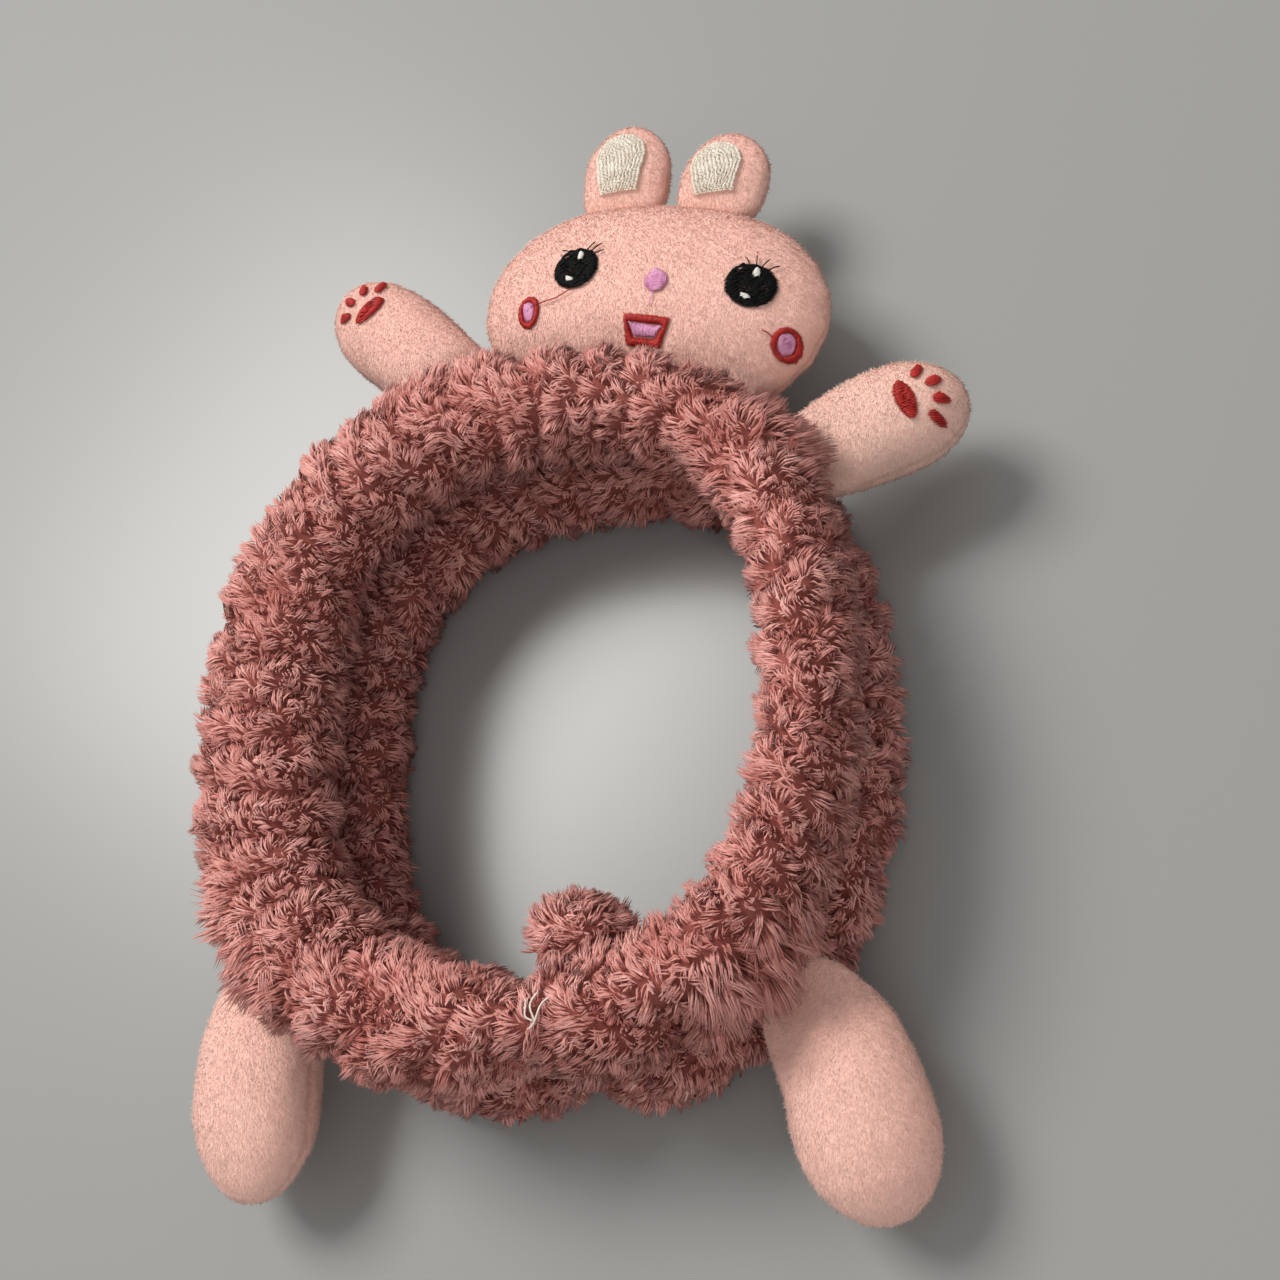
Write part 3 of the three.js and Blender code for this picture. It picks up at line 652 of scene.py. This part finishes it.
def surface_samples(piece, per_mm2):
    """Evenly spread points on a piece, and the smooth normals there."""
    mesh = piece.data
    mesh.calc_loop_triangles()
    tris = np.empty(len(mesh.loop_triangles) * 3, np.int32)
    mesh.loop_triangles.foreach_get("vertices", tris)
    tris = tris.reshape(-1, 3)
    points, normals = vertices_mm(piece), vertex_normals(piece)
    a, b, c = points[tris[:, 0]], points[tris[:, 1]], points[tris[:, 2]]
    areas = np.linalg.norm(np.cross(b - a, c - a), axis=1) / 2
    count = int(areas.sum() * per_mm2)
    chosen = np.sort(RANDOM.choice(len(tris), count, p=areas / areas.sum()))
    u, v = RANDOM.uniform(0, 1, count), RANDOM.uniform(0, 1, count)
    flip = u + v > 1
    u[flip], v[flip] = 1 - u[flip], 1 - v[flip]
    weights = np.stack([1 - u - v, u, v], 1)[:, :, None]
    corners = tris[chosen]
    spots = (points[corners] * weights).sum(1)
    return spots, unit((normals[corners] * weights).sum(1))


def short_pile(name, skin, bare, materials):
    """Short pile over a skin, but for the bare outlines on its front. A few hairs stand up."""
    roots, normals = surface_samples(skin, PILE_PER_MM2)
    covered = np.zeros(len(roots), bool)
    for outline in bare:
        covered |= inside(roots[:, :2], outline) & (normals[:, 2] > 0)
    roots, normals = roots[~covered], normals[~covered]
    upright = RANDOM.uniform(0, 1, len(roots)) < UPRIGHT_SHARE
    flat = ~upright
    made = blades(name + "_flat", roots[flat], normals[flat], FLAT_LEAN, False, materials)
    made += blades(
        name + "_upright", roots[upright], normals[upright], UPRIGHT_LEAN, True, materials
    )
    return made


def blades(name, roots, normals, leans, solid, materials, count_in_piece=60000):
    """Hairs of plush that lean from the skin: spikes where solid, and otherwise flat blades."""
    count = len(roots)
    down = unit(np.array([0.12, -1.0, -0.25]) + RANDOM.normal(0, 0.3, (count, 3)))
    lay = unit(down - normals * (down * normals).sum(1)[:, None])
    lean = RANDOM.uniform(*leans, count)[:, None]
    heading = normals * np.cos(lean) + lay * np.sin(lean)
    tip = roots + heading * PILE_LENGTH * RANDOM.uniform(0.65, 1.15, count)[:, None]
    across = unit(np.cross(normals, lay)) * PILE_WIDTH / 2
    corners = [roots + across, roots - across, tip]
    faces = [(0, 1, 2)]
    if solid:
        corners.append(roots + lay * PILE_WIDTH)
        faces = [(0, 1, 2), (1, 3, 2), (3, 0, 2)]
    verts, faces = np.stack(corners, 1), np.array(faces)
    shade = 1 + 0.8 * smooth_field(roots, 8.0, 6) + RANDOM.normal(0, 0.4, count)
    slots = np.repeat(np.clip(np.round(shade), 0, 2).astype(int)[:, None], len(faces), 1)
    made = []
    for first in range(0, count, count_in_piece):
        part = slice(first, min(first + count_in_piece, count))
        shift = np.arange(part.stop - part.start)[:, None, None] * len(corners)
        made.append(
            new_object(
                f"{name}_{len(made) + 1}",
                verts[part].reshape(-1, 3),
                (faces[None] + shift).reshape(-1, 3),
                materials,
                slots[part].ravel(),
                np.repeat(normals[part], len(corners), axis=0),
            )
        )
    return made


# ---- outlines in plan -------------------------------------------------------------------------------

def hull(points):
    """The convex outline of points in plan, anticlockwise."""
    points = sorted(map(tuple, np.round(points, 4)))

    def half(ordered):
        chain = []
        for p in ordered:
            while len(chain) > 1 and cross(chain[-2], chain[-1], p) <= 0:
                chain.pop()
            chain.append(p)
        return chain[:-1]

    return np.array(half(points) + half(points[::-1]))


def cross(o, a, b):
    return (a[0] - o[0]) * (b[1] - o[1]) - (a[1] - o[1]) * (b[0] - o[0])


def outline_of(node, grow=0.0):
    """A CAD node's convex outline in plan, in millimetres."""
    outline = hull(vertices_mm(NODES[node])[:, :2])
    middle = outline.mean(0)
    away = outline - middle
    return middle + away * (1 + grow / np.maximum(np.linalg.norm(away, axis=1, keepdims=True), 0.1))


def inside(points, outline):
    edges = np.roll(outline, -1, 0) - outline
    result = np.ones(len(points), bool)
    for corner, edge in zip(outline, edges):
        result &= edge[0] * (points[:, 1] - corner[1]) - edge[1] * (points[:, 0] - corner[0]) >= 0
    return result


def crossings(outline, origin, way):
    """Where the line from origin along way enters and leaves a convex outline, as two distances."""
    low, high = -1e9, 1e9
    for a, b in zip(outline, np.roll(outline, -1, 0)):
        inward = np.array([a[1] - b[1], b[0] - a[0]])
        speed = inward @ way
        start = inward @ (origin - a)
        if abs(speed) < 1e-9:
            if start < 0:
                return None
        elif speed > 0:
            low = max(low, -start / speed)
        else:
            high = min(high, -start / speed)
    return (low, high) if high - low > 0.2 else None


# ---- embroidery -------------------------------------------------------------------------------------

def surface_tree(skin):
    graph = bpy.context.evaluated_depsgraph_get()
    return BVHTree.FromObject(skin, graph)


def laid_stitch(tree, start, end, lift, points=5):
    """A stitch between two places in plan, arched over the surface, or None off its edge."""
    path = []
    for share in np.linspace(0, 1, points):
        spot = start + (end - start) * share
        hit, normal = tree.ray_cast(Vector((*spot * MM, 0.2)), Vector((0, 0, -1)))[:2]
        if hit is None:
            return None
        arch = lift * (0.45 + 0.55 * math.sin(math.pi * share) ** 0.6)
        path.append(hit / MM + normal * arch)
    return path


def stitches(name, body, slot, tree, layers, radius=THREAD):
    """An embroidered piece made of one short thread for each segment in plan.

    layers are pairs of segments and how far those stand out from the cloth.
    """
    paths = []
    for segments, lift in layers:
        laid = [laid_stitch(tree, a, b, lift + RANDOM.uniform(-0.05, 0.07)) for a, b in segments]
        paths += [path for path in laid if path is not None]
    verts, faces = tubes(np.array(paths), radius)
    piece = new_object(name, verts, faces, [THREADS[slot]])
    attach(piece, body)
    return piece


def fill_segments(outline, aim_deg, longest, pitch=THREAD_PITCH, ragged=0.15):
    """Rows of stitches side by side across an outline."""
    way = np.array([math.cos(math.radians(aim_deg)), math.sin(math.radians(aim_deg))])
    beside = np.array([-way[1], way[0]])
    spread = outline @ beside
    middle = outline.mean(0)
    segments = []
    for offset in np.arange(spread.min(), spread.max(), pitch):
        origin = middle + beside * (offset - middle @ beside)
        span = crossings(outline, origin, way)
        if span is None:
            continue
        low, high = span[0] + RANDOM.uniform(-ragged, ragged), span[1] + RANDOM.uniform(-ragged, ragged)
        pieces = max(1, round((high - low) / longest))
        cuts = np.linspace(low, high, pieces + 1)
        cuts[1:-1] += RANDOM.uniform(-0.3, 0.3, pieces - 1) * longest
        segments += [(origin + way * a, origin + way * b) for a, b in zip(cuts, cuts[1:])]
    return segments


def border_segments(outer, inner):
    """Stitches across a border, from its inner outline to its outer one."""
    middle = inner.mean(0)
    around = np.linalg.norm(np.roll(outer, -1, 0) - outer, axis=1).sum()
    segments = []
    for angle in np.linspace(0, 2 * np.pi, int(around / THREAD_PITCH * 1.15), endpoint=False):
        way = np.array([math.cos(angle), math.sin(angle)])
        near, far = crossings(inner, middle, way), crossings(outer, middle, way)
        jitter = RANDOM.uniform(-0.12, 0.12, 2)
        segments.append((middle + way * (near[1] + jitter[0]), middle + way * (far[1] + jitter[1])))
    return segments


def embroider(
    name, node, body, slot, tree, aim_deg, longest=4.0, lift=0.9, fine=1.0, grow=0.0, shift=(0, 0)
):
    """Fills a node's outline with satin stitch over an underlay. fine scales the thread."""
    outline = outline_of(node, grow) + shift
    pitch = THREAD_PITCH * fine
    base = outline_of(node, grow - UNDERLAY_INSET) + shift
    under = fill_segments(base, aim_deg + 90, UNDERLAY_LENGTH, pitch, 0.05)
    over = fill_segments(outline, aim_deg, longest, pitch)
    layers = [(under, lift - UNDERLAY_DROP), (over, lift)]
    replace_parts(stitches(name, body, slot, tree, layers, THREAD * fine), node)


def embroider_border(name, node, inner_node, body, slot, tree, lift=0.9):
    segments = border_segments(outline_of(node), outline_of(inner_node, grow=0.2))
    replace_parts(stitches(name, body, slot, tree, [(segments, lift)]), node)


# ---- the pieces -------------------------------------------------------------------------------------

def make_band():
    for label, side in (("upper", 1), ("lower", -1)):
        backing = roll_backing(f"roll_{label}_backing", side)
        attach(backing, "band")
        if side > 0:
            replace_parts(backing, "band_cover")
        for piece in roll_pile(f"roll_{label}_fleece", side):
            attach(piece, "band")


STUFFED = ["head"] + [f"{part}_{side}" for part in ("ear", "arm", "leg") for side in ("left", "right")]


def make_skins():
    """The skins of all the stuffed pieces, by the body that each rides on."""
    skins = {form: stuffed_skin(form) for form in STUFFED}
    swell(skins)
    for form, skin in skins.items():
        finish_skin(form, skin)
        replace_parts(skin, form + "_front_panel", form + "_back_panel", form + "_wadding")
        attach(skin, form)
    return skins


def cover_in_pile(form, skin, bare, materials=PLUSH_TINTS):
    """Grows the pile on a skin but for bare outlines, and returns the tree to lay embroidery on."""
    for piece in short_pile(form + "_pile", skin, bare, materials):
        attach(piece, form)
    return surface_tree(skin)


def bare_outlines(nodes):
    """The outlines of embroidered nodes, a little inside their edges."""
    return [outline_of(node, grow=-0.2) for node in nodes]


def face_line(tree, points, lift, smooth_steps=8):
    """A thread laid over the face through places in plan, as a path in millimetres."""
    points = np.array(points)
    share = np.linspace(0, len(points) - 1, smooth_steps)
    plan = np.stack([np.interp(share, np.arange(len(points)), points[:, k]) for k in range(2)], 1)
    path = []
    for spot in plan:
        hit, normal = tree.ray_cast(Vector((*spot * MM, 0.2)), Vector((0, 0, -1)))[:2]
        path.append(hit / MM + normal * lift)
    return path


def thread_piece(name, slot, paths, radius=FINE_THREAD):
    verts, faces = tubes(np.array(paths), radius)
    piece = new_object(name, verts, faces, [THREADS[slot]])
    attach(piece, "head")
    return piece


# The lashes over each eye: where each leaves the eye's edge, in degrees, its length and its curl.
LASHES = {
    "left": [(80, 2.9, 0.7), (66, 3.2, 0.8), (50, 2.7, 0.7), (130, 2.2, -1.2)],
    "right": [(108, 2.6, -0.7), (94, 2.9, -0.3), (80, 2.8, 0.4), (64, 2.6, 0.7)],
}


def lash(tree, eye, spot):
    """One lash: it leaves the eye's edge and curls to one side."""
    degrees, length, curl = spot
    middle = eye.mean(0)
    way = np.array([math.cos(math.radians(degrees)), math.sin(math.radians(degrees))])
    beside = np.array([way[1], -way[0]])
    start = middle + way * (crossings(eye, middle, way)[1] - 0.8)
    bends = [start + way * length * t + beside * curl * t * t for t in np.linspace(0, 1.2, 5)]
    return face_line(tree, bends, 0.9)


def make_face_threads(tree):
    """The lashes, the thread that jumps from an eye to a cheek, and a loose end at the other cheek."""
    for side, spots in LASHES.items():
        eye = outline_of(f"eye_{side}")
        thread_piece(f"eye_{side}_lashes", "black_embroidery", [lash(tree, eye, spot) for spot in spots])
    eye, cheek = outline_of("eye_left").mean(0), outline_of("cheek_left_rim").mean(0)
    low_edge, near_edge = eye + [0.5, -6.2], cheek + [2.6, 1.6]
    sag = (low_edge + near_edge) / 2 + [0.9, -0.5]
    jump = face_line(tree, [low_edge, sag, near_edge], 1.1, smooth_steps=10)
    thread_piece("jump_thread", "red_embroidery", [jump], 0.16)
    cheek = outline_of("cheek_right_rim").mean(0)
    loose = face_line(tree, [cheek + [-3.0, 0.6], cheek + [-4.4, 1.4], cheek + [-6.0, 1.6]], 0.9)
    thread_piece("loose_thread", "red_embroidery", [loose])


def make_head(skins):
    sides = ("left", "right")
    embroidered = ["nose", "mouth_outline"]
    embroidered += [f"eye_{side}" for side in sides] + [f"cheek_{side}_rim" for side in sides]
    tree = cover_in_pile("head", skins["head"], bare_outlines(embroidered))
    for side in sides:
        eye = f"eye_{side}"
        embroider(eye + "_stitches", eye, "head", "black_embroidery", tree, 35, 4.5, 1.0)
        for place in ("upper", "lower"):
            node = f"{eye}_highlight_{place}"
            embroider(
                node + "_stitches", node, "head", "white_embroidery", tree, 20, 4, 1.4, 0.7, -0.35
            )
        rim, blush = f"cheek_{side}_rim", f"cheek_{side}_blush"
        embroider_border(rim + "_stitches", rim, blush, "head", "red_embroidery", tree)
        embroider(blush + "_stitches", blush, "head", "lilac_embroidery", tree, 60, 3, 0.9, 0.8, 0.3)
    embroider("nose_stitches", "nose", "head", "lilac_embroidery", tree, 15, 7, 1.1)
    nose, mark = outline_of("nose"), outline_of("philtrum")
    low = np.array([mark[:, 0].mean(), mark[:, 1].min() - 0.6])
    drop = face_line(tree, [[low[0], nose[:, 1].min() + 0.6], low + [0.1, 1.5], low], 0.7)
    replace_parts(thread_piece("philtrum_stitch", "lilac_embroidery", [drop]), "philtrum")
    embroider_border(
        "mouth_outline_stitches", "mouth_outline", "tongue", "head", "red_embroidery", tree
    )
    embroider("tongue_stitches", "tongue", "head", "lilac_embroidery", tree, 85, 5, 0.9)
    make_face_threads(tree)


def make_ears(skins):
    for side in ("left", "right"):
        form = f"ear_{side}"
        patch = form + "_patch"
        root = seam_of(form)[0][:2]
        shift = unit(root - outline_of(patch).mean(0)) * PATCH_SHIFT
        tree = cover_in_pile(form, skins[form], [outline_of(patch, -0.2) + shift])
        embroider(
            patch + "_stitches", patch, form, "cream_embroidery", tree, 35, 1.1, 1.0, 0.8, shift=shift
        )


def make_limbs(skins):
    for side in ("left", "right"):
        arm = f"arm_{side}"
        paw = [f"paw_{side}_pad"] + [f"paw_{side}_toe_{toe}" for toe in range(1, 5)]
        materials = PALE_TINTS if side == "right" else PLUSH_TINTS
        tree = cover_in_pile(arm, skins[arm], bare_outlines(paw), materials)
        for node in paw:
            embroider(node + "_stitches", node, arm, "red_embroidery", tree, 25, 3, 0.95)
        cover_in_pile(f"leg_{side}", skins[f"leg_{side}"], [])


def make_trim():
    NODES["band_elastic"].data.materials.clear()
    NODES["band_elastic"].data.materials.append(ELASTIC)
    for node in ("groove_stitching_outer", "groove_stitching_inner"):
        NODES[node].data.materials.clear()
        NODES[node].data.materials.append(THREADS["groove_thread"])


def make_thread_tail():
    """The white ends of the joining thread, which lie curled on the fleece."""
    low, high = (np.array(corner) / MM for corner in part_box("thread_tail"))
    middle = (low + high) / 2 + [0, 0, TAIL_LIFT]
    paths = []
    for strand in range(TAIL_STRANDS):
        aim = math.radians(TAIL_AIM_DEG + TAIL_FAN_DEG * strand)
        way = np.array([math.cos(aim), math.sin(aim), 0])
        beside = np.array([-way[1], way[0], 0])
        length = TAIL_LENGTH - TAIL_SHORTER * strand
        share = np.linspace(-0.5, 0.5, 9)[:, None]
        curl = beside * np.sin(share * 5 + strand) * 0.9 + [0, 0, 1] * np.cos(share * 6 + strand) * 0.4
        offset = beside * (strand - 1) * TAIL_SPACING
        paths.append(middle + offset + way * length * share + curl)
    verts, faces = tubes(np.array(paths), TAIL_THREAD)
    tail = new_object("thread_tail_strands", verts, faces, [THREADS["sewing_thread"]])
    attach(tail, "band")
    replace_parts(tail, "thread_tail")


def make_end_tuck():
    """The ball of gathered fleece where the loop's ends are joined."""
    low, high = (np.array(corner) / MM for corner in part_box("end_tuck"))
    middle, half = (low + high) / 2, (high - low) / 2 * TUCK_SHARE
    rows, columns = 40, 48
    polar, around = np.meshgrid(
        np.linspace(0.02, math.pi - 0.02, rows), np.arange(columns) / columns * 2 * np.pi, indexing="ij"
    )
    crease = 1 - np.abs(np.sin(TUCK_FOLDS / 2 * around)) ** 0.7
    fold = 1 - TUCK_FOLD_DEPTH * crease * np.sin(polar)
    ball = np.stack(
        [np.sin(polar) * np.cos(around), np.sin(polar) * np.sin(around), np.cos(polar)], -1
    )
    verts = (middle + ball * fold[..., None] * half).reshape(-1, 3)
    faces = grid_faces(rows, columns)[: (rows - 1) * columns]
    backing = new_object("end_tuck_backing", verts, faces, [FLEECE_BACKING_PAINTED_SHADE])
    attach(backing, "band")
    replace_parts(backing, "end_tuck")
    roots, normals = surface_samples(backing, LOCKS_PER_MM2)
    for piece in locks("end_tuck_fleece", roots, normals, np.zeros(len(roots))):
        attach(piece, "band")


# ---- floor, light and camera -----------------------------------------------------------------------

def make_floor():
    half = 1.6 / MM
    verts = np.array([[-half, -half, 0], [half, -half, 0], [half, half, 0], [-half, half, 0]])
    material, _ = shader("table", (0.28, 0.281, 0.275), 0.3, 0, 0.4)
    floor = new_object("table", verts, [[0, 1, 2, 3]], [material])


def area_light(name, place, target, size, power, color):
    data = bpy.data.lights.new(name, "AREA")
    data.shape = "RECTANGLE"
    data.size, data.size_y = size
    data.energy = power
    data.color = color
    light = bpy.data.objects.new(name, data)
    light.location = place
    light.rotation_euler = (Vector(target) - Vector(place)).to_track_quat("-Z", "Y").to_euler()
    bpy.context.scene.collection.objects.link(light)


def make_lights():
    bpy.context.scene.view_settings.view_transform = "Standard"
    world = bpy.data.worlds.new("studio")
    bpy.context.scene.world = world
    world.use_nodes = True
    background = world.node_tree.nodes["Background"]
    background.inputs["Color"].default_value = (1.0, 0.985, 0.965, 1)
    background.inputs["Strength"].default_value = 0.5
    area_light("window", (-1.1, 0.5, 1.7), (0, 0, 0.02), (0.9, 0.9), 40, (1.0, 0.985, 0.96))
    area_light("fill", (0.7, -0.8, 1.3), (0, 0, 0.02), (0.8, 0.8), 3, (1.0, 0.98, 0.96))


CAMERA_AZIMUTH = math.radians(56)
CAMERA_ELEVATION = math.radians(61)
CAMERA_DISTANCE = 0.395
CAMERA_TARGET = Vector((*(LOOP_MIDDLE + [17.1, 23.6]), 30)) * MM
IMAGE_UP = Vector((-math.sin(LOOP_SKEW), math.cos(LOOP_SKEW), 0))


def make_camera():
    flat = math.cos(CAMERA_ELEVATION)
    back = Vector(
        (math.sin(CAMERA_AZIMUTH) * flat, -math.cos(CAMERA_AZIMUTH) * flat, math.sin(CAMERA_ELEVATION))
    )
    up = (IMAGE_UP - back * IMAGE_UP.dot(back)).normalized()
    right = up.cross(back)
    data = bpy.data.cameras.new("camera")
    data.lens = 45
    data.sensor_width = 36
    camera = bpy.data.objects.new("camera", data)
    turned = Matrix((right, up, back)).transposed().to_4x4()
    camera.matrix_world = Matrix.Translation(CAMERA_TARGET + back * CAMERA_DISTANCE) @ turned
    bpy.context.scene.collection.objects.link(camera)
    bpy.context.scene.camera = camera


make_camera()
make_lights()
make_floor()
make_band()
make_end_tuck()
skins = make_skins()
make_head(skins)
make_ears(skins)
make_limbs(skins)
make_trim()
make_thread_tail()
